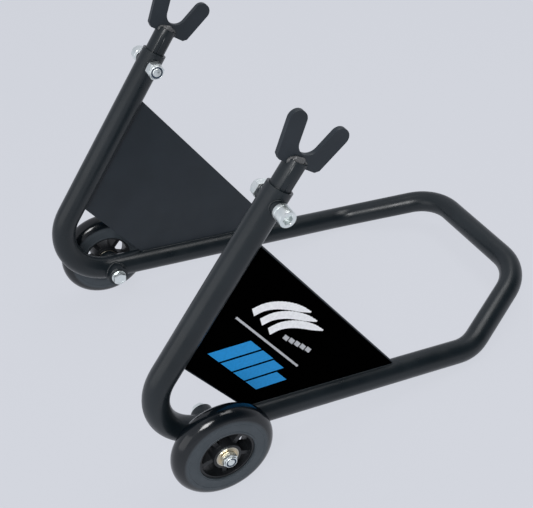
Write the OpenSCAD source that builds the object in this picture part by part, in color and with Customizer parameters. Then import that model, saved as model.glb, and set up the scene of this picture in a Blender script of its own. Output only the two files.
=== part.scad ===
// Paddock stand: one bent tube with two floor rails, two lift arms and a rear handle,
// stiffened by two gusset plates, rolling on two spoked wheels and lifting on two forks.
// Every piece is laid out with the floor rails along -Y and the elbow corner at the origin,
// then stance() leans the whole stand back onto its wheels and rear bends.
// +X is the right side, +Y the front, +Z up; the origin is on the floor, at the middle.

/* [Frame tube] */
// Outside diameter of the frame tube
tube_d = 25; // [24:0.1:26]
// Wall thickness of the frame tube
tube_wall = 2; // [1.5:0.1:2]
// Distance between the centre lines of the two floor rails
rail_spacing = 271; // [250:1:300]
// Length of a floor rail, from elbow corner to rear corner
rail_l = 392; // [370:1:420]
// Bend radius of the elbow, at the tube's centre line
elbow_r = 52.5; // [48:0.5:55]
// Bend radius of the four handle bends, at the tube's centre line
handle_r = 52; // [48:0.5:55]
// How far each handle leg runs inward
handle_in = 54; // [48:1:60]
// How far each handle leg runs back
handle_back = 97.5; // [90:0.5:105]
// How far each handle leg rises above the rails
handle_rise = 40; // [35:1:45]

/* [Lift arms] */
// Length of a lift arm, from elbow corner to open tube end
arm_l = 288.5; // [285:0.5:292]
// Angle between a lift arm and its floor rail
arm_angle = 61; // [59:0.5:63]
// Outward lean of each lift arm
arm_splay = 0.8; // [0:0.1:1.5]

/* [Gusset plates] */
// Thickness of a gusset plate
gusset_t = 3; // [2:0.5:4]
// Height up the arm of the plate's top corner
gusset_top = 236; // [230:1:240]
// Height up the arm of the plate's lower edge
gusset_low = 102; // [100:1:110]
// Distance from the elbow corner to the plate's rear corner
gusset_back = 291; // [280:1:300]
// Distance from the elbow corner to the plate's front corner on the rail
gusset_front = 125; // [122:1:135]
// Thickness of the vinyl film on the plate's outer face
film_t = 0.3; // [0.2:0.1:0.5]
// Margin of bare plate around the vinyl film
film_margin = 1.2; // [0.8:0.1:3]

/* [Wheels] */
// Outside diameter of a wheel
wheel_d = 100; // [98:0.5:102]
// Width of a wheel
wheel_w = 24; // [24:0.5:25]
// Radius of the rounded shoulders of the tread
shoulder_r = 11.5; // [10:0.5:11.5]
// Outside radius of the hub's rim, under the tyre
rim_r = 27.5; // [27:0.5:29]
// Number of spokes in a hub
spokes = 5; // [3:1:7]
// Width of one spoke
spoke_w = 4.6; // [4:0.1:6]
// Distance from the rail's centre line out to the middle of the wheel
wheel_out = 29.5; // [29.5:0.5:32]
// Distance of the axle behind the elbow corner
axle_back = 91; // [90:0.5:95]
// Drop of the axle below the rail's centre line
axle_drop = 1.5; // [0:0.5:2]

/* [Forks] */
// Thickness of a fork plate
fork_t = 5; // [4:0.5:6]
// Radius of the notch that takes a swingarm spool
notch_r = 11; // [10:0.5:12]
// Half of the angle between the two prongs
prong_angle = 15; // [10:0.5:18]
// Width of one prong
prong_w = 16.4; // [14:0.2:17]
// Straight length of a prong above the notch's middle
prong_l = 18.8; // [16:0.1:22]
// Height of the notch's middle along the arm
notch_at = 332; // [331:0.5:336]
// Height of the fork plate's bottom edge along the arm
plate_at = 310; // [309:0.5:311]
// How far the fork plate sits behind the stem's middle
fork_back = 2; // [0:0.5:4]
// Outside diameter of the fork stem
stem_d = 20; // [19:0.1:20.4]
// Height of the fork bolt along the arm
fork_bolt_at = 274.5; // [270:0.5:276]
// How far the fork boss stands out from the arm under the bolt's washer
fork_boss_head = 3.5; // [2:0.5:4]
// How far the fork boss stands out from the arm under the nut
fork_boss_nut = 2; // [1:0.5:2.5]

/* [Hidden] */

$fn = 72;
LEFT = -1;
RIGHT = 1;
EPS = 0.01;

steel_black = "#2b2e33";
film_black = "#101114";
zinc = "#c9cfd2";
yellow_zinc = "#c8a860";
tyre_grey = "#3a3d40";
hub_black = "#1b1c1e";
nylon_blue = "#5b7fae";

// M8 hardware on the axles
m8_r = 4;
m8_hole_r = 4.25;
m8_flats = 13;
m8_head_h = 5.3;
m8_washer_r = 8;
m8_washer_t = 1.6;
axle_bolt_l = 70;

// M10 hardware on the forks
m10_r = 5;
m10_hole_r = 5.25;
m10_cap_r = 7.7;
m10_cap_h = 10;
m10_socket_flats = 8;
m10_socket_deep = 5;
m10_washer_r = 7.7;
m10_washer_t = 4;
fork_bolt_l = 45;

// Lock nuts: thread radius, flats, height of the hexagon, whole height, radius of the collar,
// radius and height of the insert
M8_NUT = [4, 13, 6, 8, 5.9, 4.9, 1.4];
M10_NUT = [5, 16, 7.6, 10, 7.3, 6.1, 1.7];

// 608 ball bearing
bearing_r = 11;
bearing_w = 7;
ring_in_r = 5.9;
ring_out_r = 9.7;
ball_r = 1.9;
ball_pitch_r = 7.6;
ball_count = 7;
race_gap = 0.3;
shield_t = 0.4;
shield_in_r = 6.3;
shield_recess = 0.35;

tube_r = tube_d / 2;
bore_r = tube_r - tube_wall;
rail_x = rail_spacing / 2;
// The wall is a little thinner round each bend, and each straight stretch runs a little into it
bend_thinning = 0.02;
bend_lap = 0.5;
wheel_r = wheel_d / 2;

boss_r = 11;
boss_in = 19;
fork_boss_r = 7.5;
spacer_t = 1.5;
spacer_r = ring_in_r;
boss_out = wheel_out - wheel_w / 2 - spacer_t;

hub_boss_r = 13.6;
rim_t = 2.5;
rim_w = 21;
spoke_d = 15;

stem_wall = 2;
stem_low = 214;
stem_slot = 5;
corner_cut = 3;

function unit(v) = v / norm(v);

// A bend of radius r at corner b: [start, end, centre, turn]
function bend(a, b, c, r) =
    let (p = unit(a - b), q = unit(c - b), half = acos(p * q) / 2)
    [b + p * r / tan(half), b + q * r / tan(half), b + unit(p + q) * r / sin(half), 180 - 2 * half];

// Corners of the right half of the tube's centre line
arm_dir = [sin(arm_angle) * sin(arm_splay), -cos(arm_angle), sin(arm_angle) * cos(arm_splay)];
elbow = [rail_x, 0, 0];
rear = [rail_x, -rail_l, 0];
grip_end = rear + [-handle_in, -handle_back, handle_rise];
half_path = [elbow + arm_l * arm_dir, elbow, rear, grip_end];
tube_path = concat(half_path, [for (i = [3:-1:0]) [-half_path[i].x, half_path[i].y, half_path[i].z]]);
tube_radii = [0, elbow_r, handle_r, handle_r, handle_r, handle_r, elbow_r, 0];
tube_ends = len(tube_path) - 1;

// The stance: the lean at which the wheels and the rear bends both stand on the floor
leg_dir = unit(grip_end - rear);
leg_turn = unit(leg_dir + [0, -leg_dir.y, 0]);
rear_start = -bend(elbow, rear, grip_end, handle_r)[0].y;
function settle(lean, rounds) =
    rounds == 0 ? lean :
    let (roll = atan(tan(lean) / leg_turn.z),
        reach = rear_start + handle_r * sin(roll) - axle_back,
        lift = handle_r * (1 - cos(roll)) * leg_turn.z + axle_drop)
    settle(asin((wheel_r - tube_r + lift * cos(lean)) / reach), rounds - 1);
lean = settle(7, 6);
elbow_centre = bend(half_path[0], elbow, rear, elbow_r)[2];
front_y = elbow_centre.y * cos(lean) - elbow_centre.z * sin(lean) + elbow_r + tube_r;
back_y = grip_end.y * cos(lean) - grip_end.z * sin(lean) - tube_r;
stance_y = -(front_y + back_y) / 2;
stance_z = wheel_r + axle_drop * cos(lean) + axle_back * sin(lean);

module stance() {
    translate([0, stance_y, stance_z]) rotate([lean, 0, 0]) children();
}

module mirrored(side) {
    if (side == LEFT) mirror([1, 0, 0]) children();
    else children();
}

// A side's own plane: Y along the rail, Z up between rail and arm, X outward
module side_plane(side) {
    stance() mirrored(side) translate([rail_x, 0, 0]) rotate([0, arm_splay, 0]) children();
}

// The arm's own axes: Z up the arm, Y forward, X outward
module on_arm(side) {
    side_plane(side) rotate([90 - arm_angle, 0, 0]) children();
}

// The axle's own axes: Z outward along the axle, from the rail's centre line
module on_axle(side) {
    stance() mirrored(side)
        translate([rail_x, -axle_back, -axle_drop]) rotate([0, 90, 0]) children();
}

module along(from, dir) {
    z = unit(dir);
    x = unit(cross(abs(z.x) < 0.9 ? [1, 0, 0] : [0, 1, 0], z));
    y = cross(z, x);
    multmatrix([[x.x, y.x, z.x, from.x], [x.y, y.y, z.y, from.y], [x.z, y.z, z.z, from.z], [0, 0, 0, 1]])
        children();
}

// A pipe's cross section, its wall thinned by thin on both faces; solid leaves out its bore
module pipe_section(thin, solid) {
    difference() {
        circle(r = tube_r - thin);
        if (!solid) circle(r = bore_r + thin);
    }
}

// A straight stretch, run on past each end by lap
module straight(from, to, lap_from, lap_to, solid = false) {
    dir = unit(to - from);
    along(from - lap_from * dir, dir)
        linear_extrude(norm(to - from) + lap_from + lap_to) pipe_section(0, solid);
}

module pipe_bend(b, corner, path_r, solid = false) {
    x = unit(b[0] - b[2]);
    y = unit(corner - b[0]);
    z = cross(x, y);
    multmatrix([[x.x, y.x, z.x, b[2].x], [x.y, y.y, z.y, b[2].y], [x.z, y.z, z.z, b[2].z], [0, 0, 0, 1]])
        rotate_extrude(angle = b[3]) translate([path_r, 0]) pipe_section(bend_thinning, solid);
}

bends = [for (i = [1:tube_ends - 1]) bend(tube_path[i - 1], tube_path[i], tube_path[i + 1], tube_radii[i])];

// The whole pipe: a straight stretch from each bend, or open end, to the next
module bent_pipe() {
    straight(tube_path[0], bends[0][0], 0, bend_lap);
    for (i = [0:len(bends) - 1]) {
        pipe_bend(bends[i], tube_path[i + 1], tube_radii[i + 1]);
        if (i < len(bends) - 1) straight(bends[i][1], bends[i + 1][0], bend_lap, bend_lap);
    }
    straight(bends[len(bends) - 1][1], tube_path[tube_ends], bend_lap, 0);
}

// The right elbow and its rail as a solid rod, to shape what is welded on there
module elbow_rod() {
    pipe_bend(bends[0], elbow, elbow_r, true);
    straight(bends[0][1], bends[1][0], bend_lap, 0, true);
}

module frame_tube() {
    color(steel_black) difference() {
        stance() bent_pipe();
        for (side = [LEFT, RIGHT]) {
            on_axle(side) cylinder(h = 2 * tube_d, r = m8_hole_r, center = true);
            on_arm(side) translate([0, 0, fork_bolt_at]) rotate([0, 90, 0])
                cylinder(h = 2 * tube_d, r = m10_hole_r, center = true);
        }
    }
}

// The plate's outline in its side plane, from the arm round to the rail, shrunk by inset
function on_arm_line(along, off) =
    [-along * cos(arm_angle) + off * sin(arm_angle), along * sin(arm_angle) + off * cos(arm_angle)];
top_in = on_arm_line(gusset_top, -tube_r);
top_out = on_arm_line(gusset_top - 2.5, -tube_r - 7);
low_arm = on_arm_line(gusset_low, -tube_r);
rear_rail = [-gusset_back, tube_r];
front_rail = [-gusset_front, tube_r];
rear_blunt = 2.5;

module gusset_outline(inset) {
    tuck = 2;
    offset(delta = -inset) polygon([
        top_in, top_out, rear_rail + [0, rear_blunt], rear_rail - [0, tuck],
        front_rail - [0, tuck], front_rail, low_arm, on_arm_line(gusset_low, -tube_r + tuck),
        on_arm_line(gusset_top, -tube_r + tuck)]);
}

module plate_between(inset, thick, clear) {
    difference() {
        rotate([90, 0, 90]) linear_extrude(thick, center = true) gusset_outline(inset);
        rotate([90, 0, 0]) cylinder(h = rail_l, r = tube_r + clear);
        rotate([90 - arm_angle, 0, 0]) cylinder(h = arm_l, r = tube_r + clear);
    }
}

module gusset(side) {
    color(steel_black) side_plane(side) plate_between(0, gusset_t, 0);
}

module gusset_film(side) {
    color(film_black) side_plane(side) translate([(gusset_t + film_t) / 2, 0, 0])
        plate_between(film_margin, film_t, film_margin);
}

module axle_bosses(side) {
    color(steel_black) difference() {
        on_axle(side) translate([0, 0, -boss_in]) cylinder(h = boss_in + boss_out, r = boss_r);
        on_axle(side) translate([0, 0, -boss_in - 1])
            cylinder(h = boss_in + boss_out + 2, r = m8_hole_r);
        stance() mirrored(side) elbow_rod();
    }
}

module fork_bosses(side) {
    length = fork_boss_nut + tube_d + fork_boss_head;
    color(steel_black) on_arm(side) difference() {
        translate([-tube_r - fork_boss_nut, 0, fork_bolt_at]) rotate([0, 90, 0]) cylinder(h = length, r = fork_boss_r);
        translate([-tube_d, 0, fork_bolt_at]) rotate([0, 90, 0]) cylinder(h = 2 * tube_d, r = m10_hole_r);
        cylinder(h = arm_l, r = tube_r);
    }
}

module hex(flats, h) {
    cylinder(h = h, r = flats / sqrt(3), $fn = 6);
}

module axle_bolt(side) {
    head_at = -boss_in - m8_washer_t;
    color(zinc) on_axle(side) {
        translate([0, 0, head_at - m8_head_h]) hex(m8_flats, m8_head_h);
        translate([0, 0, head_at - EPS])
            cylinder(h = axle_bolt_l + EPS, r = m8_r);
    }
}

module ring(inner, outer, h) {
    difference() {
        cylinder(h = h, r = outer);
        translate([0, 0, -1]) cylinder(h = h + 2, r = inner);
    }
}

module axle_head_washers() {
    color(zinc) for (side = [LEFT, RIGHT])
        on_axle(side) translate([0, 0, -boss_in - m8_washer_t]) ring(m8_hole_r, m8_washer_r, m8_washer_t);
}

module axle_spacers() {
    color(zinc) for (side = [LEFT, RIGHT])
        on_axle(side) translate([0, 0, boss_out]) ring(m8_hole_r, spacer_r, spacer_t);
}

// A lock nut standing on z = 0, with the recess for its nylon insert in the collar
module lock_nut(size) {
    recess_at = size[3] - size[6];
    difference() {
        union() {
            hex(size[1], size[2]);
            cylinder(h = size[3], r = size[4]);
        }
        translate([0, 0, -1]) cylinder(h = size[3] + 2, r = size[0]);
        translate([0, 0, recess_at]) cylinder(h = size[6] + 1, r = size[5]);
    }
}

module lock_insert(size) {
    translate([0, 0, size[3] - size[6]]) ring(size[0], size[5], size[6]);
}

module at_axle_nut(side) {
    on_axle(side) translate([0, 0, wheel_out + wheel_w / 2]) children();
}

module at_fork_nut(side) {
    on_arm(side) translate([-tube_r - fork_boss_nut, 0, fork_bolt_at]) rotate([0, -90, 0]) children();
}

module axle_nut(side) {
    color(zinc) at_axle_nut(side) lock_nut(M8_NUT);
}

module fork_nut(side) {
    color(zinc) at_fork_nut(side) lock_nut(M10_NUT);
}

module lock_inserts() {
    color(nylon_blue) for (side = [LEFT, RIGHT]) {
        at_axle_nut(side) lock_insert(M8_NUT);
        at_fork_nut(side) lock_insert(M10_NUT);
    }
}

// Both bearings of a wheel: children are drawn once for each, from the bearing's inner end
module at_bearings(side) {
    for (start = [wheel_out - wheel_w / 2, wheel_out + wheel_w / 2 - bearing_w])
        on_axle(side) translate([0, 0, start]) children();
}

module race(r) {
    rotate_extrude() translate([ball_pitch_r, bearing_w / 2]) circle(r = r);
}

module bearing_inner_rings(side) {
    color(zinc) at_bearings(side) difference() {
        ring(m8_r, ring_in_r, bearing_w);
        race(ball_r + race_gap);
    }
}

module bearing_outer_rings(side) {
    color(zinc) at_bearings(side) difference() {
        ring(ring_out_r, bearing_r, bearing_w);
        race(ball_r + race_gap);
    }
}

module bearing_balls(side) {
    color(zinc) at_bearings(side)
        for (i = [0:ball_count - 1])
            rotate([0, 0, i * 360 / ball_count]) translate([ball_pitch_r, 0, bearing_w / 2])
                sphere(r = ball_r, $fn = 24);
}

module bearing_shields(side) {
    color(yellow_zinc) at_bearings(side)
        for (z = [shield_recess, bearing_w - shield_recess - shield_t])
            translate([0, 0, z]) ring(shield_in_r, ring_out_r, shield_t);
}

module bearing_sleeve(side) {
    start = wheel_out - wheel_w / 2 + bearing_w;
    color(zinc) on_axle(side) translate([0, 0, start])
        ring(m8_hole_r, ring_in_r, wheel_w - 2 * bearing_w);
}

module wheel_hub(side) {
    shoulder = bearing_r - 1.5;
    color(hub_black) on_axle(side) translate([0, 0, wheel_out]) difference() {
        union() {
            cylinder(h = wheel_w, r = hub_boss_r, center = true);
            difference() {
                cylinder(h = rim_w, r = rim_r, center = true);
                cylinder(h = rim_w + 2, r = rim_r - rim_t, center = true);
            }
            for (i = [0:spokes - 1]) rotate([0, 0, i * 360 / spokes])
                translate([hub_boss_r - 1, -spoke_w / 2, -spoke_d / 2])
                    cube([rim_r - rim_t / 2 - hub_boss_r + 1, spoke_w, spoke_d]);
        }
        cylinder(h = wheel_w + 2, r = shoulder, center = true);
        for (end = [-1, 1]) translate([0, 0, end * (wheel_w / 2 - bearing_w / 2 + 0.5)])
            cylinder(h = bearing_w + 1, r = bearing_r, center = true);
    }
}

module tyre(side) {
    shoulder_x = wheel_r - shoulder_r;
    crown = wheel_w / 2 - shoulder_r;
    color(tyre_grey) on_axle(side) translate([0, 0, wheel_out]) rotate_extrude($fn = 144) union() {
        translate([rim_r, -wheel_w / 2]) square([shoulder_x - rim_r, wheel_w]);
        for (end = [-1, 1]) translate([shoulder_x, end * crown]) circle(r = shoulder_r);
        translate([shoulder_x, -crown]) square([shoulder_r, 2 * crown]);
    }
}

// Half width of the fork plate's outline at height z along the arm
function fork_half(z) =
    (notch_r + prong_w + (z - notch_at) * sin(prong_angle)) / cos(prong_angle);
function prong_point(off, up) =
    [off * cos(prong_angle) + up * sin(prong_angle), notch_at - off * sin(prong_angle) + up * cos(prong_angle)];

module fork_outline() {
    tip = prong_point(notch_r + prong_w / 2, prong_l);
    foot = fork_half(plate_at);
    right_edge = [[foot - corner_cut, plate_at], [fork_half(plate_at + corner_cut), plate_at + corner_cut],
        prong_point(notch_r + prong_w, prong_l), prong_point(notch_r, prong_l), prong_point(notch_r, 0)];
    left_edge = [for (i = [len(right_edge) - 1:-1:0]) [-right_edge[i].x, right_edge[i].y]];
    polygon(concat(right_edge, left_edge));
    for (end = [-1, 1]) translate([end * tip.x, tip.y]) circle(r = prong_w / 2);
}

module fork_plate(side) {
    color(steel_black) on_arm(side) translate([0, -fork_back, 0]) difference() {
        rotate([90, 0, 90]) linear_extrude(fork_t, center = true) fork_outline();
        translate([0, 0, notch_at]) rotate([0, 90, 0]) cylinder(h = 2 * fork_t, r = notch_r, center = true);
    }
}

module fork_stem(side) {
    stem_top = plate_at + stem_slot;
    color(steel_black) on_arm(side) difference() {
        translate([0, 0, stem_low]) ring(stem_d / 2 - stem_wall, stem_d / 2, stem_top - stem_low);
        translate([-fork_t / 2, -stem_d, plate_at]) cube([fork_t, 2 * stem_d, stem_slot + 1]);
        translate([0, 0, fork_bolt_at]) rotate([0, 90, 0])
            cylinder(h = 2 * stem_d, r = m10_hole_r, center = true);
    }
}

// The outer end of the fork boss, with Z outward along the fork bolt
module on_fork_boss(side) {
    on_arm(side) translate([tube_r + fork_boss_head, 0, fork_bolt_at]) rotate([0, 90, 0]) children();
}

module fork_head_washers() {
    color(zinc) for (side = [LEFT, RIGHT]) on_fork_boss(side) ring(m10_hole_r, m10_washer_r, m10_washer_t);
}

module fork_bolt(side) {
    color(zinc) on_fork_boss(side) translate([0, 0, m10_washer_t]) {
        difference() {
            cylinder(h = m10_cap_h, r = m10_cap_r);
            translate([0, 0, m10_cap_h - m10_socket_deep]) hex(m10_socket_flats, m10_socket_deep + 1);
        }
        translate([0, 0, -fork_bolt_l]) cylinder(h = fork_bolt_l + EPS, r = m10_r);
    }
}

frame_tube();
gusset(LEFT);  // gusset_left
gusset(RIGHT);  // gusset_right
gusset_film(LEFT);  // gusset_film_left
gusset_film(RIGHT);  // gusset_film_right
axle_bosses(LEFT);  // axle_bosses_left
axle_bosses(RIGHT);  // axle_bosses_right
fork_bosses(LEFT);  // fork_bosses_left
fork_bosses(RIGHT);  // fork_bosses_right
axle_bolt(LEFT);  // axle_bolt_left
axle_bolt(RIGHT);  // axle_bolt_right
axle_head_washers();
axle_spacers();
axle_nut(LEFT);  // axle_nut_left
axle_nut(RIGHT);  // axle_nut_right
bearing_inner_rings(LEFT);  // bearing_inner_rings_left
bearing_inner_rings(RIGHT);  // bearing_inner_rings_right
bearing_sleeve(LEFT);  // bearing_sleeve_left
bearing_sleeve(RIGHT);  // bearing_sleeve_right
bearing_outer_rings(LEFT);  // bearing_outer_rings_left
bearing_outer_rings(RIGHT);  // bearing_outer_rings_right
bearing_balls(LEFT);  // bearing_balls_left
bearing_balls(RIGHT);  // bearing_balls_right
bearing_shields(LEFT);  // bearing_shields_left
bearing_shields(RIGHT);  // bearing_shields_right
wheel_hub(LEFT);  // wheel_hub_left
wheel_hub(RIGHT);  // wheel_hub_right
tyre(LEFT);  // tyre_left
tyre(RIGHT);  // tyre_right
fork_plate(LEFT);  // fork_plate_left
fork_plate(RIGHT);  // fork_plate_right
fork_stem(LEFT);  // fork_stem_left
fork_stem(RIGHT);  // fork_stem_right
fork_bolt(LEFT);  // fork_bolt_left
fork_bolt(RIGHT);  // fork_bolt_right
fork_head_washers();
fork_nut(LEFT);  // fork_nut_left
fork_nut(RIGHT);  // fork_nut_right
lock_inserts();
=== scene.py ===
"""Looks of the paddock stand: finishes, hardware, weld beads and film graphic.

The floor, light and camera come last. The frame's axes are +X right, +Y forward and +Z up, in metres.
"""

import math

import bmesh
import bpy
from mathutils import Matrix, Vector


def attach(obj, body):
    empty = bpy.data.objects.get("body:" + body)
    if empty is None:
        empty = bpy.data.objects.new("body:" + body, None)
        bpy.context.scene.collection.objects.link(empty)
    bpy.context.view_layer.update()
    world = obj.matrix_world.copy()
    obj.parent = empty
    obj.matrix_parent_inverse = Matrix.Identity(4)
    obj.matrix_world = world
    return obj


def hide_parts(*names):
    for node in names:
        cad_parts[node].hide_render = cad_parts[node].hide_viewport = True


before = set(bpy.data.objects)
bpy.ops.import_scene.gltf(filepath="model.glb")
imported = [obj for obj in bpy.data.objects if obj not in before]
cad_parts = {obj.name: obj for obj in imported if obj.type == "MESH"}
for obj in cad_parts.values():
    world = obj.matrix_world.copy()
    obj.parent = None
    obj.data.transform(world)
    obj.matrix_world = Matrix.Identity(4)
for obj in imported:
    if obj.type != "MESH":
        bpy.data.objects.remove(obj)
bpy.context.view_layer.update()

# ---------------------------------------------------------------- dimensions of the part, lengths in mm
MM = 0.001
LEFT, RIGHT = -1, 1
SIDE_NAMES = {LEFT: "left", RIGHT: "right"}
# Sides of one rail, arm or plate: away from the stand's middle, or towards it
OUTER, INNER = 1, -1

LEAN = math.radians(7.7085)
STANCE_Y = 266.65
STANCE_Z = 63.69
RAIL_X = 135.5
TUBE_R = 12.5
ARM_ANGLE = math.radians(61)
ARM_SPLAY = math.radians(0.8)
AXLE_BACK = 91
AXLE_DROP = 1.5
BOSS_R = 11
BOSS_IN = 19
WHEEL_OUT = 29.5
WHEEL_W = 24
AXLE_BOLT_L = 70

GUSSET_T = 3
GUSSET_SEAT = math.sqrt(TUBE_R**2 - (GUSSET_T / 2) ** 2)
FILM_T = 0.3
GUSSET_TOP = 236
GUSSET_LOW = 102
GUSSET_BACK = 291
GUSSET_FRONT = 125

FORK_T = 5
STEM_TOP = 315
STEM_R = 10
FORK_BOLT_AT = 274.5
FORK_BOSS_R = 7.5
FORK_BOSS_HEAD = 3.5
FORK_BOSS_NUT = 2
FORK_BOLT_L = 45

M8_R = 4
M8_FLATS = 13
M8_HEAD_H = 5.3
M8_WASHER_T = 1.6
M10_R = 5
M10_CAP_R = 7.7
M10_CAP_H = 10
M10_SOCKET = 8
M10_SOCKET_DEEP = 5
M10_WASHER_T = 4
# Lock nuts: thread radius, flats, hexagon height, whole height, collar radius, insert radius, insert height
M8_NUT = (4, 13, 6, 8, 5.9, 4.9, 1.4)
M10_NUT = (5, 16, 7.6, 10, 7.3, 6.1, 1.7)


def rail_matrix(side):
    """A side's rail: -Y along it from the elbow corner, +X outward, +Z up."""
    mirror = Matrix.Diagonal((side, 1, 1, 1))
    place = Matrix.Translation((0, STANCE_Y, STANCE_Z)) @ Matrix.Rotation(LEAN, 4, "X")
    return Matrix.Scale(MM, 4) @ place @ mirror @ Matrix.Translation((RAIL_X, 0, 0))


def plane_matrix(side):
    """A side's gusset plane, which leans out with the arm."""
    return rail_matrix(side) @ Matrix.Rotation(ARM_SPLAY, 4, "Y")


def arm_matrix(side):
    """A side's arm: +Z up the arm from the elbow corner, +Y forward, +X outward."""
    return plane_matrix(side) @ Matrix.Rotation(math.pi / 2 - ARM_ANGLE, 4, "X")


def axle_matrix(side):
    """A side's axle: +Z outward from the rail's centre line."""
    place = Matrix.Translation((0, -AXLE_BACK, -AXLE_DROP))
    return rail_matrix(side) @ place @ Matrix.Rotation(math.pi / 2, 4, "Y")


# ---------------------------------------------------------------- materials
class Finish:
    """A material and short ways to add nodes to it."""

    def __init__(self, name, color, roughness, metallic=0.0, specular=0.5):
        self.material = bpy.data.materials.new(name)
        self.material.use_nodes = True
        self.nodes = self.material.node_tree.nodes
        self.links = self.material.node_tree.links
        self.shader = self.nodes["Principled BSDF"]
        self.shader.inputs["Base Color"].default_value = (*color, 1)
        self.shader.inputs["Roughness"].default_value = roughness
        self.shader.inputs["Metallic"].default_value = metallic
        self.shader.inputs["Specular IOR Level"].default_value = specular
        self.place = self.nodes.new("ShaderNodeTexCoord").outputs["Object"]

    def node(self, kind, inputs=None, **settings):
        made = self.nodes.new(kind)
        for name, value in settings.items():
            setattr(made, name, value)
        for name, value in (inputs or {}).items():
            if isinstance(value, bpy.types.NodeSocket):
                self.links.new(value, made.inputs[name])
            else:
                made.inputs[name].default_value = value
        return made

    def noise(self, scale, detail, stretch=None):
        place = self.place
        if stretch:
            place = self.node("ShaderNodeMapping", {"Vector": place, "Scale": stretch}).outputs[0]
        inputs = {"Vector": place, "Scale": scale, "Detail": detail}
        return self.node("ShaderNodeTexNoise", inputs).outputs["Fac"]

    def spread(self, value, low, high, start=0.3, end=0.7):
        """Maps value from start..end onto low..high. The defaults are the range that noise fills."""
        inputs = {"Value": value, "From Min": start, "From Max": end, "To Min": low, "To Max": high}
        return self.node("ShaderNodeMapRange", inputs).outputs[0]

    def mix(self, factor, first, second):
        made = self.node("ShaderNodeMix", data_type="RGBA")
        for socket, value in ((made.inputs[0], factor), (made.inputs[6], first), (made.inputs[7], second)):
            if isinstance(value, bpy.types.NodeSocket):
                self.links.new(value, socket)
            else:
                socket.default_value = (*value, 1)
        return made.outputs[2]

    def math(self, operation, first, second=0.0):
        made = self.node("ShaderNodeMath", operation=operation)
        for socket, value in zip(made.inputs, (first, second)):
            if isinstance(value, bpy.types.NodeSocket):
                self.links.new(value, socket)
            else:
                socket.default_value = value
        return made.outputs[0]

    def set(self, socket, value):
        self.links.new(value, self.shader.inputs[socket])

    def vary_color(self, noise, first, second):
        self.set("Base Color", self.mix(self.spread(noise, 0.0, 1.0), first, second))

    def vary_roughness(self, noise, middle, below, above):
        self.set("Roughness", self.spread(noise, middle - below, middle + above))

    def bump(self, height, distance, strength):
        """Raises the surface by height times distance, in mm."""
        inputs = {"Height": height, "Distance": distance * MM, "Strength": strength}
        self.set("Normal", self.node("ShaderNodeBump", inputs).outputs[0])


def scaled(color, share):
    return tuple(share * c for c in color)


def powder_coat(name, color, light, roughness):
    """Satin black powder coat: fine orange peel, faint cloudy wear in colour and gloss."""
    finish = Finish(name, color, roughness, specular=0.4)
    finish.vary_color(finish.noise(scale=22, detail=4), color, light)
    finish.vary_roughness(finish.noise(scale=60, detail=5), roughness, below=0.05, above=0.06)
    finish.bump(finish.noise(scale=950, detail=2), distance=0.04, strength=0.5)
    return finish.material


def vinyl(name, color, roughness, specular):
    """Printed vinyl: very fine grain and a slow ripple in its gloss."""
    finish = Finish(name, color, roughness, specular=specular)
    finish.vary_roughness(finish.noise(scale=35, detail=3), roughness, below=0.06, above=0.06)
    finish.vary_color(finish.noise(scale=420, detail=4), scaled(color, 0.86), color)
    finish.bump(finish.noise(scale=140, detail=3), distance=0.05, strength=0.3)
    return finish.material


def plated(name, color, tint, roughness):
    """Plated steel: a faint passivate tint, uneven gloss and a very fine grain."""
    finish = Finish(name, color, roughness, metallic=1.0)
    finish.vary_color(finish.noise(scale=160, detail=3), color, tint)
    finish.vary_roughness(finish.noise(scale=700, detail=4), roughness, below=0.07, above=0.1)
    finish.bump(finish.noise(scale=1260, detail=2), distance=0.01, strength=0.3)
    return finish.material


def ground_steel(name, color, roughness):
    """Turned and ground steel: faint mottling, and fine rings round the axle, which lies along X."""
    finish = Finish(name, color, roughness, metallic=1.0)
    finish.vary_color(finish.noise(scale=90, detail=2), color, scaled(color, 0.8))
    rings = finish.noise(scale=1400, detail=2, stretch=(1, 0.1, 0.1))
    finish.vary_roughness(rings, roughness, below=0.06, above=0.08)
    return finish.material


def moulded(name, color, roughness):
    """Matte moulded plastic with a fine spark-eroded texture."""
    finish = Finish(name, color, roughness, specular=0.4)
    finish.vary_color(finish.noise(scale=130, detail=3), color, scaled(color, 1.5))
    finish.vary_roughness(finish.noise(scale=500, detail=3), roughness, below=0.06, above=0.08)
    finish.bump(finish.noise(scale=1300, detail=2), distance=0.05, strength=0.6)
    return finish.material


WALL_COLOR = (0.038, 0.049, 0.058)
WALL_DUSTY = (0.047, 0.059, 0.069)
WALL_ROUGHNESS = 0.58
WALL_END = 39.5
TREAD_START = 42.5
TREAD_COLOR = (0.003, 0.005, 0.007)
TREAD_ROUGHNESS = 0.15
TREAD_GRAIN = 0.12
SCUFF_LOW, SCUFF_HIGH = -0.03, 0.05


def axle_distance(finish):
    """How far a point lies from the axles, which share one line."""
    axle = axle_matrix(RIGHT).translation
    apart = finish.node("ShaderNodeSeparateXYZ", {"Vector": finish.place})
    forward = finish.math("SUBTRACT", apart.outputs["Y"], axle.y)
    up = finish.math("SUBTRACT", apart.outputs["Z"], axle.z)
    square = finish.math("ADD", finish.math("MULTIPLY", forward, forward), finish.math("MULTIPLY", up, up))
    return finish.math("SQRT", square)


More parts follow.
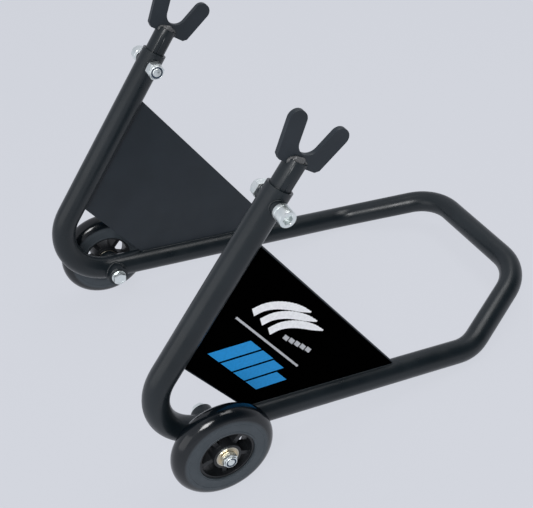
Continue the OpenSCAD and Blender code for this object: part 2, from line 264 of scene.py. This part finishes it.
def tyre_rubber(name):
    """Moulded tyre: matte, faintly dusty side walls, and a dark tread polished by running."""
    finish = Finish(name, WALL_COLOR, WALL_ROUGHNESS)
    tread = finish.spread(axle_distance(finish), 0.0, 1.0, WALL_END * MM, TREAD_START * MM)
    wall = finish.mix(finish.spread(finish.noise(scale=70, detail=4), 0.0, 1.0), WALL_COLOR, WALL_DUSTY)
    finish.set("Base Color", finish.mix(tread, wall, TREAD_COLOR))
    scuff = finish.spread(finish.noise(scale=180, detail=4), SCUFF_LOW, SCUFF_HIGH)
    gloss = finish.spread(tread, WALL_ROUGHNESS, TREAD_ROUGHNESS, 0.0, 1.0)
    finish.set("Roughness", finish.math("ADD", gloss, scuff))
    grain = finish.noise(scale=1100, detail=2)
    worn = finish.spread(tread, 1.0, TREAD_GRAIN, 0.0, 1.0)
    finish.bump(finish.math("MULTIPLY", grain, worn), distance=0.05, strength=0.6)
    return finish.material


PAINT = powder_coat("satin_black_powder_coat", (0.005, 0.0085, 0.011), (0.009, 0.0135, 0.017), 0.31)
PLATE_PAINT = powder_coat("plate_powder_coat", (0.009, 0.014, 0.019), (0.013, 0.019, 0.026), 0.46)
# The weld paint is far lighter grey than the frame's paint. This is a painted sheen that stands in for the
# brighter reflection off the welds.
WELD_SHEEN_PAINT = powder_coat("weld_paint_with_painted_sheen", (0.055, 0.058, 0.062), (0.13, 0.13, 0.13), 0.3)
FILM = vinyl("black_vinyl_film", (0.0003, 0.0003, 0.0003), 0.6, 0.0)
FILM_WHITE = vinyl("white_print", (0.92, 0.93, 0.94), 0.5, 0.3)
FILM_GREY = vinyl("grey_print", (0.50, 0.51, 0.53), 0.5, 0.3)
FILM_BLUE = vinyl("blue_print", (0.012, 0.285, 0.680), 0.5, 0.2)
ZINC = plated("bright_zinc_plate", (0.88, 0.91, 0.90), (0.76, 0.82, 0.82), 0.36)
YELLOW_ZINC = plated("yellow_zinc_plate", (0.66, 0.54, 0.34), (0.60, 0.53, 0.42), 0.45)
STEEL = ground_steel("ground_bearing_steel", (0.62, 0.58, 0.48), 0.38)
RUBBER = tyre_rubber("moulded_tyre")
HUB = moulded("black_hub_moulding", (0.007, 0.008, 0.0095), 0.42)
NYLON = moulded("blue_nylon", (0.02, 0.035, 0.06), 0.4)

NODE_FINISH = {
    "frame_tube": PAINT,
    "gusset": PLATE_PAINT,
    "gusset_film": FILM,
    "axle_bosses": PAINT,
    "fork_bosses": PAINT,
    "fork_plate": PLATE_PAINT,
    "fork_stem": PAINT,
    "axle_bolt": ZINC,
    "axle_nut": ZINC,
    "axle_head_washers": ZINC,
    "axle_spacers": ZINC,
    "fork_bolt": ZINC,
    "fork_nut": ZINC,
    "fork_head_washers": ZINC,
    "bearing_inner_rings": STEEL,
    "bearing_outer_rings": STEEL,
    "bearing_sleeve": STEEL,
    "bearing_balls": STEEL,
    "bearing_shields": YELLOW_ZINC,
    "wheel_hub": HUB,
    "tyre": RUBBER,
    "lock_inserts": NYLON,
}
# Rounding of a node's edges, in mm
NODE_ROUNDING = {
    "gusset": 0.5,
    "fork_plate": 0.9,
    "fork_stem": 0.4,
    "fork_bosses": 0.5,
    "axle_bosses": 0.5,
    "axle_head_washers": 0.25,
    "fork_head_washers": 0.4,
    "wheel_hub": 0.45,
    "bearing_outer_rings": 0.25,
    "bearing_inner_rings": 0.2,
}
ROUNDING_SEGMENTS = 3
ROUNDING_ANGLE = math.radians(40)
JOIN_WITHIN = 0.002


def plain_name(node):
    return node.removesuffix("_left").removesuffix("_right")


def finish_node(name, node):
    kind = plain_name(name)
    node.data.materials.clear()
    node.data.materials.append(NODE_FINISH[kind])
    if kind in NODE_ROUNDING:
        weld = node.modifiers.new("join_faces", "WELD")
        weld.merge_threshold = JOIN_WITHIN * MM
        bevel = node.modifiers.new("round_edges", "BEVEL")
        bevel.width = NODE_ROUNDING[kind] * MM
        bevel.segments = ROUNDING_SEGMENTS
        bevel.limit_method = "ANGLE"
        bevel.angle_limit = ROUNDING_ANGLE
        bevel.use_clamp_overlap = True
        bevel.harden_normals = True


for name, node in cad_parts.items():
    finish_node(name, node)


# ---------------------------------------------------------------- mesh helpers
ROUND_STEPS = 144
# Edges that bend by more degrees than this stay sharp
HARDWARE_SHARP = 35
PRINT_SHARP = 60
WELD_SHARP = 80


def loft(bm, rings, closed=False):
    """Joins rings of points, each with as many points, into a skin.

    Closed joins the last ring to the first. Otherwise each end gets a cap.
    """
    skin = [[bm.verts.new(point) for point in ring] for ring in rings]
    count = len(skin[0])
    pairs = list(zip(skin, skin[1:] + skin[:1])) if closed else list(zip(skin, skin[1:]))
    for first, second in pairs:
        for i in range(count):
            j = (i + 1) % count
            bm.faces.new((first[i], first[j], second[j], second[i]))
    if not closed:
        bm.faces.new(skin[0])
        bm.faces.new(skin[-1])


def add_piece(bm, name, matrix, material, sharp, body="frame", stands_for=()):
    """Places bm by matrix and adds it as a piece that rides on body."""
    bm.transform(matrix)
    bmesh.ops.recalc_face_normals(bm, faces=bm.faces)
    for face in bm.faces:
        face.smooth = True
    for edge in bm.edges:
        edge.smooth = len(edge.link_faces) == 2 and edge.calc_face_angle(0) < math.radians(sharp)
    mesh = bpy.data.meshes.new(name)
    bm.to_mesh(mesh)
    bm.free()
    piece = bpy.data.objects.new(name, mesh)
    bpy.context.scene.collection.objects.link(piece)
    mesh.materials.append(material)
    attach(piece, body)
    if stands_for:
        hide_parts(*stands_for)


def circle(radius, z):
    return [
        Vector((radius * math.cos(a), radius * math.sin(a), z))
        for a in (2 * math.pi * i / ROUND_STEPS for i in range(ROUND_STEPS))
    ]


def hex_radius(angle, flats):
    """Distance from the middle of a hexagon with a corner at angle 0 to its outline."""
    return flats / 2 / math.cos(angle % (math.pi / 3) - math.pi / 6)


def hexagon(flats, z, chamfer=0.0, chamfer_r=0.0):
    """A hexagon's outline at z, with a corner at angle 0.

    Corners further out than chamfer_r are cut back along Z, by chamfer for each mm.
    """
    ring = []
    for i in range(ROUND_STEPS):
        angle = 2 * math.pi * i / ROUND_STEPS
        radius = hex_radius(angle, flats)
        drop = chamfer * max(0.0, radius - chamfer_r)
        ring.append(Vector((radius * math.cos(angle), radius * math.sin(angle), z - drop)))
    return ring


def turned_edge(radius, height, edge, up=1):
    """Circles of an edge given as (in from radius, short of height) steps.

    up is -1 where the height is measured along -Z.
    """
    return [circle(radius - inward, up * (height - short)) for inward, short in edge]


# ---------------------------------------------------------------- hardware
CHAMFER_SLOPE = math.tan(math.radians(30))
NUT_FACE_IN = 0.25
NUT_BORE_CHAMFER = 0.4
COLLAR_FOOT_OUT = 0.15
COLLAR_FOOT_UP = 0.3
# Edges as (in from the radius, short of the height) steps
COLLAR_DOME = ((0, 0.9), (0.15, 0.35), (0.5, 0.05))
COLLAR_CRIMP = ((-0.15, 0), (0, 0.1))
HEAD_DISH = ((1.6, 0.25), (1.3, 0), (0, 0))
CAP_ROUNDING = ((0, 0.9), (0.2, 0.35), (0.8, 0))
M8_POINT = ((0, 0.9), (0.75, 0), (2.2, 0), (2.5, 0.15))
M10_POINT = ((0, 1.1), (0.9, 0), (2.9, 0), (3.2, 0.15))
HEAD_FACE_IN = 0.2
HEAD_FACE_T = 0.25
HEAD_UNDERSIDE = 0.3
CAP_CHAMFER = 0.4
SOCKET_CHAMFER_OUT = 0.9
SOCKET_CHAMFER_DEEP = 0.4
SOCKET_CONE_R = 2.1
SOCKET_CONE_DEEP = 0.7


def screw_matrix_axle(side):
    return axle_matrix(side) @ Matrix.Translation((0, 0, -BOSS_IN - M8_WASHER_T))


def nut_matrix_axle(side):
    return axle_matrix(side) @ Matrix.Translation((0, 0, WHEEL_OUT + WHEEL_W / 2))


def screw_matrix_fork(side):
    place = Matrix.Translation((TUBE_R + FORK_BOSS_HEAD + M10_WASHER_T, 0, FORK_BOLT_AT))
    return arm_matrix(side) @ place @ Matrix.Rotation(math.pi / 2, 4, "Y")


def nut_matrix_fork(side):
    place = Matrix.Translation((-TUBE_R - FORK_BOSS_NUT, 0, FORK_BOLT_AT))
    return arm_matrix(side) @ place @ Matrix.Rotation(-math.pi / 2, 4, "Y")


def lock_nut(size):
    """A lock nut standing on z = 0: chamfered hexagon, domed collar and the recess of its insert."""
    thread_r, flats, hex_h, height, collar_r, insert_r, insert_h = size
    face_r = flats / 2 - NUT_FACE_IN
    recess = height - insert_h
    rings = [
        circle(thread_r + NUT_BORE_CHAMFER, 0),
        circle(face_r, 0),
        hexagon(flats, 0, -CHAMFER_SLOPE, face_r),
        hexagon(flats, hex_h, CHAMFER_SLOPE, face_r),
        circle(collar_r + COLLAR_FOOT_OUT, hex_h),
        circle(collar_r, hex_h + COLLAR_FOOT_UP),
        *turned_edge(collar_r, height, COLLAR_DOME),
        *turned_edge(insert_r, height, COLLAR_CRIMP),
        circle(insert_r, recess),
        circle(thread_r, recess),
        circle(thread_r, NUT_BORE_CHAMFER),
    ]
    bm = bmesh.new()
    loft(bm, rings, closed=True)
    return bm


def hex_bolt():
    """The axle's hex screw: underside of the head at z = 0, shank along +Z to a chamfered end."""
    face_r = M8_FLATS / 2 - HEAD_FACE_IN
    rings = [
        *turned_edge(face_r, M8_HEAD_H, HEAD_DISH, up=-1),
        hexagon(M8_FLATS, -M8_HEAD_H, -CHAMFER_SLOPE, face_r),
        hexagon(M8_FLATS, -HEAD_UNDERSIDE),
        circle(face_r, -HEAD_FACE_T),
        circle(face_r, 0),
        circle(M8_R, 0),
        *turned_edge(M8_R, AXLE_BOLT_L, M8_POINT),
    ]
    bm = bmesh.new()
    loft(bm, rings)
    return bm


def cap_screw():
    """The fork's socket cap screw: underside of the head at z = 0, head along +Z, shank along -Z."""
    socket_bottom = M10_CAP_H - M10_SOCKET_DEEP
    rings = [
        *turned_edge(M10_R, FORK_BOLT_L, reversed(M10_POINT), up=-1),
        circle(M10_R, 0),
        circle(M10_CAP_R - CAP_CHAMFER, 0),
        circle(M10_CAP_R, CAP_CHAMFER),
        *turned_edge(M10_CAP_R, M10_CAP_H, CAP_ROUNDING),
        circle(M10_SOCKET / 2 + SOCKET_CHAMFER_OUT, M10_CAP_H),
        hexagon(M10_SOCKET, M10_CAP_H - SOCKET_CHAMFER_DEEP),
        hexagon(M10_SOCKET, socket_bottom),
        circle(SOCKET_CONE_R, socket_bottom - SOCKET_CONE_DEEP),
    ]
    bm = bmesh.new()
    loft(bm, rings)
    return bm


def add_hardware(side):
    name = SIDE_NAMES[side]
    fasteners = (
        (hex_bolt(), "axle_hex_screw", screw_matrix_axle(side), "axle_bolt"),
        (lock_nut(M8_NUT), "axle_lock_nut", nut_matrix_axle(side), "axle_nut"),
        (cap_screw(), "fork_cap_screw", screw_matrix_fork(side), "fork_bolt"),
        (lock_nut(M10_NUT), "fork_lock_nut", nut_matrix_fork(side), "fork_nut"),
    )
    for bm, kind, matrix, node in fasteners:
        add_piece(bm, f"{kind}_{name}", matrix, ZINC, HARDWARE_SHARP,
                  stands_for=[f"{node}_{name}"])


# ---------------------------------------------------------------- weld beads
BEAD_STEPS = 12
BEAD_SAMPLES = 6
MIN_RIPPLES = 3
# Shares of a bead's radius: length and size of its ripples, how far its sides lag, and how thin it ends
RIPPLE_PITCH = 0.95
RIPPLE_BASE = 0.84
RIPPLE_SWELL = 0.2
RIPPLE_UNEVEN = 0.05
BEAD_LAG = 0.45
BEAD_END = 0.35
# Where in its swell a ripple starts, and the step of the uneven size from ripple to ripple
RIPPLE_FROM = 0.15
RIPPLE_TURN = 2.4

# Radii of the beads, how far a gusset's beads lie off its faces, and how far they stop short of its corners
GUSSET_BEAD = {OUTER: 0.9, INNER: 1.3}
BOSS_BEAD = 1.6
FORK_BOSS_BEAD = 0.9
STEM_BEAD = 1.6
GUSSET_BEAD_OUT = 0.2
GUSSET_BEAD_SHORT = 1


def run_lengths(run):
    """How far along a run each of its points lies."""
    lengths = [0.0]
    for (a, _), (b, _) in zip(run, run[1:]):
        lengths.append(lengths[-1] + (b - a).length)
    return lengths


def bead_size(i, count, radius, closed):
    """Radius of the i-th of a bead's rings, which swells over each ripple and thins towards an open end."""
    phase = (i % BEAD_SAMPLES) / BEAD_SAMPLES
    swell = RIPPLE_SWELL * math.sin(math.pi * (RIPPLE_FROM + (1 - RIPPLE_FROM) * phase))
    uneven = RIPPLE_UNEVEN * math.sin(RIPPLE_TURN * (i // BEAD_SAMPLES))
    size = radius * (RIPPLE_BASE + swell + uneven)
    if not closed:
        size *= min(1.0, BEAD_END + (1 - BEAD_END) * min(i, count - i) / BEAD_SAMPLES)
    return size


def bead_ring(point, outward, along, size, lag):
    """A ring of a bead round point. Its crown leads, and its sides lag behind along the run."""
    across = along.cross(outward).normalized()
    ring = []
    for s in range(BEAD_STEPS):
        angle = 2 * math.pi * s / BEAD_STEPS
        lift = max(0.0, math.cos(angle))
        offset = size * (math.cos(angle) * outward + math.sin(angle) * across)
        ring.append(point + offset - along * (lag * (1 - lift)))
    return ring


def bead(bm, path, radius, closed=False):
    """A rippled weld bead along path, a list of (point, outward) pairs."""
    run = path + path[:1] if closed else path
    lengths = run_lengths(run)
    ripples = max(MIN_RIPPLES, round(lengths[-1] / (radius * RIPPLE_PITCH)))
    count = ripples * BEAD_SAMPLES
    rings = []
    k = 0
    for i in range(count + (0 if closed else 1)):
        at = lengths[-1] * i / count
        while k < len(lengths) - 2 and lengths[k + 1] < at:
            k += 1
        share = (at - lengths[k]) / (lengths[k + 1] - lengths[k])
        point = run[k][0].lerp(run[k + 1][0], share)
        outward = run[k][1].lerp(run[k + 1][1], share).normalized()
        along = (run[k + 1][0] - run[k][0]).normalized()
        size = bead_size(i, count, radius, closed)
        rings.append(bead_ring(point, outward, along, size, BEAD_LAG * radius))
    loft(bm, rings, closed)


def straight_run(start, end, outward):
    return [(Vector(start), Vector(outward).normalized()), (Vector(end), Vector(outward).normalized())]


RAIL_BOSS_STEPS = 72
RAIL_BOSS_FROM = -62
RAIL_BOSS_TURN = 304


def rail_boss_run(sign):
    """The axle boss on the rail, in the rail's axes, on the outer or inner side.

    The run leaves out the bottom of the boss, which comes level with the tube's underside.
    """
    run = []
    for i in range(RAIL_BOSS_STEPS + 1):
        angle = math.radians(RAIL_BOSS_FROM + RAIL_BOSS_TURN * i / RAIL_BOSS_STEPS)
        z = -AXLE_DROP + BOSS_R * math.sin(angle)
        x = sign * math.sqrt(TUBE_R**2 - z**2)
        point = Vector((x, -AXLE_BACK + BOSS_R * math.cos(angle), z))
        outward = Vector((x / TUBE_R, math.cos(angle), math.sin(angle) + z / TUBE_R))
        run.append((point, outward.normalized()))
    return run


ARM_BOSS_STEPS = 60


def arm_boss_run(sign):
    """The fork boss on the arm, in the arm's axes, on the outer or inner side."""
    run = []
    for i in range(ARM_BOSS_STEPS):
        angle = 2 * math.pi * i / ARM_BOSS_STEPS
        y = FORK_BOSS_R * math.sin(angle)
        x = sign * math.sqrt(TUBE_R**2 - y**2)
        point = Vector((x, y, FORK_BOLT_AT + FORK_BOSS_R * math.cos(angle)))
        outward = Vector((x / TUBE_R, math.sin(angle) + y / TUBE_R, math.cos(angle)))
        run.append((point, outward.normalized()))
    return run


ARCH_STEPS = 24
ARCH_IN = 0.4
ARCH_OUT = 0.3
ARCH_FOOT = 5.5
ARCH_RISE = 7.0
ARCH_POWER = 0.5


def stem_run(sign):
    """The arch where a fork plate meets its stem, in the arm's axes, on the outer or inner face."""
    ear = math.sqrt(STEM_R**2 - (FORK_T / 2) ** 2)
    face = sign * (FORK_T / 2 + ARCH_OUT)
    end = Vector((sign, 0, 1)).normalized()
    run = []
    for i in range(ARCH_STEPS + 1):
        angle = math.pi * i / ARCH_STEPS
        y = -(ear - ARCH_IN) * math.cos(angle)
        z = STEM_TOP - ARCH_FOOT + ARCH_RISE * math.sin(angle) ** ARCH_POWER
        lean = Vector((sign, -math.cos(angle), math.sin(angle))).normalized()
        run.append((Vector((face, y, z)), lean if 0 < i < ARCH_STEPS else end))
    return run


LUMP = (3.4, 6.6, 4.6)
LUMP_OUT = 1.4
LUMP_FORWARD = 0.6
LUMP_DOWN = 0.6
LUMP_PHASE = 1.3
LUMP_SEGMENTS, LUMP_RINGS = 48, 30
# Rolls and dents of a lump: share of its size, turn along Y, turn along Z, and times its phase
LUMP_WAVES = ((0.10, 5.2, 2.6, 1), (0.06, -4.3, 9.1, 2))


def weld_lump(bm, middle, size, phase):
    """A fat lump of weld: a ball of the given half sizes with rolls and dents across it."""
    ball = bmesh.ops.create_uvsphere(bm, u_segments=LUMP_SEGMENTS, v_segments=LUMP_RINGS, radius=1)["verts"]
    for vert in ball:
        x, y, z = vert.co
        roll = 1
        for share, along_y, along_z, times in LUMP_WAVES:
            roll += share * math.sin(along_y * y + along_z * z + times * phase)
        vert.co = Vector(middle) + Vector((x * size[0], y * size[1], z * size[2])) * roll


def add_weld(bm, kind, side, matrix, material=PAINT):
    add_piece(bm, f"{kind}_{SIDE_NAMES[side]}", matrix, material, WELD_SHARP)


def add_axle_boss_welds(side):
    bm = bmesh.new()
    for sign in (OUTER, INNER):
        bead(bm, rail_boss_run(sign), BOSS_BEAD)
    add_weld(bm, "axle_boss_welds", side, rail_matrix(side))


def add_fork_boss_welds(side):
    bm = bmesh.new()
    for sign in (OUTER, INNER):
        bead(bm, arm_boss_run(sign), FORK_BOSS_BEAD, closed=True)
    add_weld(bm, "fork_boss_welds", side, arm_matrix(side))


def add_gusset_rail_welds(side):
    bm = bmesh.new()
    for sign, radius in GUSSET_BEAD.items():
        x = sign * (GUSSET_T / 2 + GUSSET_BEAD_OUT)
        back = (x, -GUSSET_BACK + GUSSET_BEAD_SHORT, GUSSET_SEAT)
        front = (x, -GUSSET_FRONT - GUSSET_BEAD_SHORT, GUSSET_SEAT)
        bead(bm, straight_run(back, front, (sign, 0, 1)), radius)
    add_weld(bm, "gusset_rail_welds", side, plane_matrix(side))


def add_gusset_arm_welds(side):
    bm = bmesh.new()
    for sign, radius in GUSSET_BEAD.items():
        x = sign * (GUSSET_T / 2 + GUSSET_BEAD_OUT)
        low = (x, -GUSSET_SEAT, GUSSET_LOW + GUSSET_BEAD_SHORT)
        top = (x, -GUSSET_SEAT, GUSSET_TOP - GUSSET_BEAD_SHORT)
        bead(bm, straight_run(low, top, (sign, -1, 0)), radius)
    add_weld(bm, "gusset_arm_welds", side, arm_matrix(side))


def add_fork_plate_welds(side):
    bm = bmesh.new()
    for sign in (OUTER, INNER):
        bead(bm, stem_run(sign), STEM_BEAD)
        middle = (sign * (FORK_T / 2 + LUMP_OUT), LUMP_FORWARD, STEM_TOP - LUMP_DOWN)
        weld_lump(bm, middle, LUMP, LUMP_PHASE + sign)
    # The arches and lumps take the lighter weld paint, whose grey is a painted sheen.
    add_weld(bm, "fork_plate_welds", side, arm_matrix(side), WELD_SHEEN_PAINT)


def add_welds(side):
    add_axle_boss_welds(side)
    add_fork_boss_welds(side)
    add_gusset_rail_welds(side)
    add_gusset_arm_welds(side)
    add_fork_plate_welds(side)


# ---------------------------------------------------------------- rings moulded on the tyre's side walls
# Radius, thickness and depth below the wall of each
WALL_RINGS = ((29, 0.45, 0), (37.6, 0.3, 0.05))
WALL_RING_POINTS = 10


def tube_ring(bm, radius, thick, z):
    rings = []
    for i in range(ROUND_STEPS):
        a = 2 * math.pi * i / ROUND_STEPS
        ring = []
        for k in range(WALL_RING_POINTS):
            b = 2 * math.pi * k / WALL_RING_POINTS
            out = radius + thick * math.cos(b)
            ring.append(Vector((out * math.cos(a), out * math.sin(a), z + thick * math.sin(b))))
        rings.append(ring)
    loft(bm, rings, closed=True)


def add_tyre_lips(side):
    name = SIDE_NAMES[side]
    bm = bmesh.new()
    for end in (-1, 1):
        for radius, thick, sunk in WALL_RINGS:
            tube_ring(bm, radius, thick, WHEEL_OUT + end * (WHEEL_W / 2 - sunk))
    add_piece(bm, f"tyre_lips_{name}", axle_matrix(side), RUBBER, WELD_SHARP,
              body=f"{name}_wheel")


# ---------------------------------------------------------------- film graphic
# Its points are (back, up) in the gusset plane, in mm
PRINT_T = 0.06
PRINT_X = GUSSET_T / 2 + FILM_T
PATH_STEPS = 9
# A stroke's uneven edge: size, and turn from ring to ring
STROKE_WAVES = ((0.18, 1.9), (0.12, 4.3))


def slab(bm, outline):
    """A thin print with the given (back, up) outline on the film."""
    rings = [[Vector((PRINT_X + x, -back, up)) for back, up in outline] for x in (-PRINT_T, PRINT_T)]
    loft(bm, rings)


def smooth_path(points, steps):
    """Catmull-Rom through points of any size."""
    ends = [points[0]] + points + [points[-1]]
    path = []
    for i in range(1, len(ends) - 2):
        p0, p1, p2, p3 = (Vector(p) for p in ends[i - 1:i + 3])
        for k in range(steps):
            t = k / steps
            path.append(0.5 * (2 * p1 + t * (p2 - p0) + t * t * (2 * p0 - 5 * p1 + 4 * p2 - p3)
                               + t**3 * (3 * p1 - p0 - 3 * p2 + p3)))
    path.append(Vector(points[-1]))
    return path


def brush_stroke(bm, points):
    """A flat stroke along (back, up, width) points, with a slightly uneven edge."""
    path = smooth_path(points, PATH_STEPS)
    rings = []
    for i, p in enumerate(path):
        ahead = path[min(i + 1, len(path) - 1)] - path[max(i - 1, 0)]
        side = Vector((-ahead.y, ahead.x)).normalized()
        uneven = sum(size * math.sin(turn * i) for size, turn in STROKE_WAVES)
        half = p.z / 2 + uneven
        left = Vector((p.x, p.y)) + side * half
        right = Vector((p.x, p.y)) - side * (half - 0.5 * uneven)
        edges = ((left, -PRINT_T), (left, PRINT_T), (right, PRINT_T), (right, -PRINT_T))
        rings.append([Vector((PRINT_X + x, -q.x, q.y)) for q, x in edges])
    loft(bm, rings)


SWEEPS = 3
SWEEP_POINTS = 7
SWEEP_START = (125, 127)
SWEEP_STEP = (9, -13.5)
SWEEP_LENGTH = 60
SWEEP_SHORTER = 1
SWEEP_ARCH = 8
SWEEP_ARCH_POWER = 0.8
SWEEP_FALL = 0.28
SWEEP_W = 8.2
# Shares of SWEEP_W: width at the start, loss along the sweep, and loss near its end
SWEEP_BLUNT = 1.12
SWEEP_THINNING = 0.15
SWEEP_TAPER = 0.8
SWEEP_TAPER_POWER = 6


def sweep(i):
    """The i-th brush sweep as (back, up, width) points: an arch that starts blunt and thins out."""
    length = SWEEP_LENGTH - SWEEP_SHORTER * i
    points = []
    for k in range(SWEEP_POINTS):
        t = k / (SWEEP_POINTS - 1)
        arch = SWEEP_ARCH * math.sin(math.pi * t**SWEEP_ARCH_POWER)
        back = SWEEP_START[0] + SWEEP_STEP[0] * i + length * t
        up = SWEEP_START[1] + SWEEP_STEP[1] * i + arch - SWEEP_FALL * length * t
        width = SWEEP_W * (SWEEP_BLUNT - SWEEP_THINNING * t - SWEEP_TAPER * t**SWEEP_TAPER_POWER)
        points.append((back, up, width))
    return points


def add_print(bm, kind, side, material):
    add_piece(bm, f"{kind}_{SIDE_NAMES[side]}", plane_matrix(side), material, PRINT_SHARP)


def add_strokes(side):
    bm = bmesh.new()
    for i in range(SWEEPS):
        brush_stroke(bm, sweep(i))
    add_print(bm, "film_strokes", side, FILM_WHITE)


DASHES = 5
DASH_START = (161, 91)
DASH_STEP = (6.4, -5.6)
DASH_SHAPE = ((0, 0), (4.6, -5.2), (1.6, -8.6), (-3.0, -3.4))


def add_dashes(side):
    bm = bmesh.new()
    for i in range(DASHES):
        back = DASH_START[0] + DASH_STEP[0] * i
        up = DASH_START[1] + DASH_STEP[1] * i
        slab(bm, [(back + x, up + y) for x, y in DASH_SHAPE])
    add_print(bm, "film_dashes", side, FILM_GREY)


LINE_START = (108.7, 126.2)
LINE_END = (178.3, 46.7)
LINE_W = 2.2


def add_line(side):
    bm = bmesh.new()
    start, end = Vector(LINE_START), Vector(LINE_END)
    along = (end - start).normalized()
    off = Vector((-along.y, along.x)) * (LINE_W / 2)
    slab(bm, [start + off, end + off, end - off, start - off])
    add_print(bm, "film_line", side, FILM_GREY)


STRIPE_SHEAR = 0.86
STRIPE_TOP_BACK = 83.5
STRIPE_TOP_UP = 92.5
STRIPE_H = 13.6
STRIPE_GAP = 2.2
STRIPE_LENGTHS = (42, 42, 41, 32)
STRIPE_RISE = 0.05


def add_stripes(side):
    bm = bmesh.new()
    for i, length in enumerate(STRIPE_LENGTHS):
        up = STRIPE_TOP_UP - i * (STRIPE_H + STRIPE_GAP)
        low = up - STRIPE_H
        back = STRIPE_TOP_BACK + (STRIPE_TOP_UP - up) * STRIPE_SHEAR
        foot = back + STRIPE_H * STRIPE_SHEAR
        rise = length * STRIPE_RISE
        slab(bm, [(back, up), (back + length, up + rise), (foot + length, low + rise), (foot, low)])
    add_print(bm, "film_stripes", side, FILM_BLUE)


def add_graphic(side):
    add_strokes(side)
    add_dashes(side)
    add_line(side)
    add_stripes(side)


for side in (LEFT, RIGHT):
    add_hardware(side)
    add_welds(side)
    add_tyre_lips(side)
    add_graphic(side)


# ---------------------------------------------------------------- stage, light and camera
PALE = (0.651, 0.672, 0.730)
DIM = (0.02, 0.022, 0.027)
FLOOR_HALF = 12.0
FLOOR_COLOR = (0.05, 0.05, 0.054)
FLOOR_ROUGHNESS = 0.9
FLOOR_GLOW = 0.92
SKY_GLOW = 0.85
# The dark patch of ceiling: its direction, and the cosines where it starts and where it is full
DARK_SIDE = (-0.55, -0.40, 0.73)
PALE_BELOW = 0.45
DARK_ABOVE = 0.95


def add_floor():
    bm = bmesh.new()
    corners = [(-1, -1), (1, -1), (1, 1), (-1, 1)]
    bm.faces.new([bm.verts.new((FLOOR_HALF * x, FLOOR_HALF * y, 0)) for x, y in corners])
    mesh = bpy.data.meshes.new("floor")
    bm.to_mesh(mesh)
    bm.free()
    floor = bpy.data.objects.new("floor", mesh)
    bpy.context.scene.collection.objects.link(floor)
    finish = Finish("pale_floor", FLOOR_COLOR, FLOOR_ROUGHNESS, specular=0.0)
    finish.shader.inputs["Emission Color"].default_value = (*PALE, 1)
    finish.shader.inputs["Emission Strength"].default_value = FLOOR_GLOW
    mesh.materials.append(finish.material)


def add_world():
    """A pale studio with a dark patch of ceiling towards DARK_SIDE, so that black paint stays dark."""
    world = bpy.data.worlds.new("studio")
    bpy.context.scene.world = world
    world.use_nodes = True
    nodes, links = world.node_tree.nodes, world.node_tree.links
    direction = nodes.new("ShaderNodeTexCoord")
    toward = nodes.new("ShaderNodeVectorMath")
    toward.operation = "DOT_PRODUCT"
    toward.inputs[1].default_value = DARK_SIDE
    ramp = nodes.new("ShaderNodeMapRange")
    ramp.interpolation_type = "SMOOTHSTEP"
    ramp.inputs["From Min"].default_value = PALE_BELOW
    ramp.inputs["From Max"].default_value = DARK_ABOVE
    mix = nodes.new("ShaderNodeMix")
    mix.data_type = "RGBA"
    mix.inputs[6].default_value = (*PALE, 1)
    mix.inputs[7].default_value = (*DIM, 1)
    links.new(direction.outputs["Generated"], toward.inputs[0])
    links.new(toward.outputs["Value"], ramp.inputs["Value"])
    links.new(ramp.outputs[0], mix.inputs[0])
    background = nodes["Background"]
    links.new(mix.outputs[2], background.inputs["Color"])
    background.inputs["Strength"].default_value = SKY_GLOW


# Softboxes: name, place, point aimed at, width, height and power
SOFTBOXES = (
    ("overhead", (0.05, -0.42, 1.4), (0.05, -0.42, 0), 1.0, 0.55, 7),
    ("front", (-0.3, 1.7, 0.5), (0, 0.1, 0.15), 1.6, 0.9, 4),
    ("key", (-1.2, 0.8, 1.6), (0, 0, 0.15), 0.7, 0.7, 24),
)


def add_softbox(name, place, aim, width, height, power):
    light = bpy.data.lights.new(name, "AREA")
    light.shape = "RECTANGLE"
    light.size = width
    light.size_y = height
    light.energy = power
    lamp = bpy.data.objects.new(name, light)
    bpy.context.scene.collection.objects.link(lamp)
    lamp.location = place
    lamp.rotation_euler = (Vector(aim) - Vector(place)).to_track_quat("-Z", "Y").to_euler()


CAMERA_PLACE = (-0.72642, 0.37656, 0.74177)
CAMERA_AZIMUTH = math.radians(-114.497)
CAMERA_ELEVATION = math.radians(37.963)
CAMERA_ROLL = math.radians(-3.24)
CAMERA_SENSOR = 36
CAMERA_LENS = 66.12
CAMERA_SHIFT = (-0.00075, -0.0120)


def add_camera():
    data = bpy.data.cameras.new("camera")
    data.sensor_width = CAMERA_SENSOR
    data.lens = CAMERA_LENS
    data.shift_x, data.shift_y = CAMERA_SHIFT
    camera = bpy.data.objects.new("camera", data)
    bpy.context.scene.collection.objects.link(camera)
    a, e = CAMERA_AZIMUTH, CAMERA_ELEVATION
    back = Vector((math.sin(a) * math.cos(e), -math.cos(a) * math.cos(e), math.sin(e)))
    right = Vector((math.cos(a), math.sin(a), 0))
    up = back.cross(right)
    turn = Matrix((right, up, back)).transposed() @ Matrix.Rotation(CAMERA_ROLL, 3, "Z")
    camera.matrix_world = Matrix.Translation(CAMERA_PLACE) @ turn.to_4x4()
    bpy.context.scene.camera = camera


bpy.context.scene.view_settings.view_transform = "Standard"
add_floor()
add_world()
for softbox in SOFTBOXES:
    add_softbox(*softbox)
add_camera()
